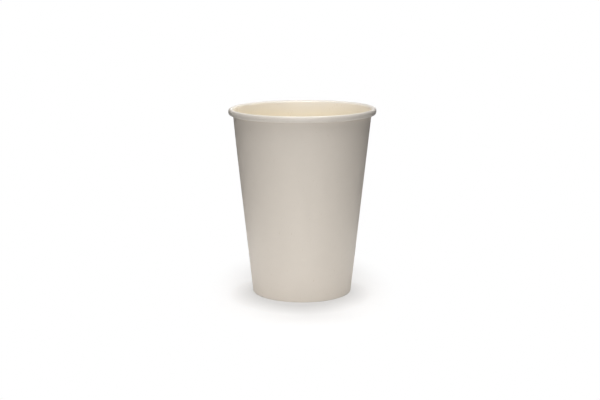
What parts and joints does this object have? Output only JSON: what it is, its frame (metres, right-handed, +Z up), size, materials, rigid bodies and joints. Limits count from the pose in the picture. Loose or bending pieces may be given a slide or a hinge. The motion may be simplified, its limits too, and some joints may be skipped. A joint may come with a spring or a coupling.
{
  "type": "paper coffee cup",
  "caption": "Tapered single-wall paper cup for a hot drink, with a rolled rim, a lapped side seam and a recessed bottom held in its folded lower edge.",
  "frame": {"origin": "centre of the folded lower edge, on the surface that the cup stands on", "axes": "+Z up along the cup's axis towards the rim, +X to the right as seen from the front, away from the lapped seam, and +Y to the back"},
  "size_m": [0.09, 0.09, 0.1135],
  "materials": {
    "wall_paper": "matte",
    "bottom_paper": "satin"
  },
  "bodies": {
    "root": {"side_wall": "wall_paper", "cup_bottom": "bottom_paper"}
  },
  "joints": []
}
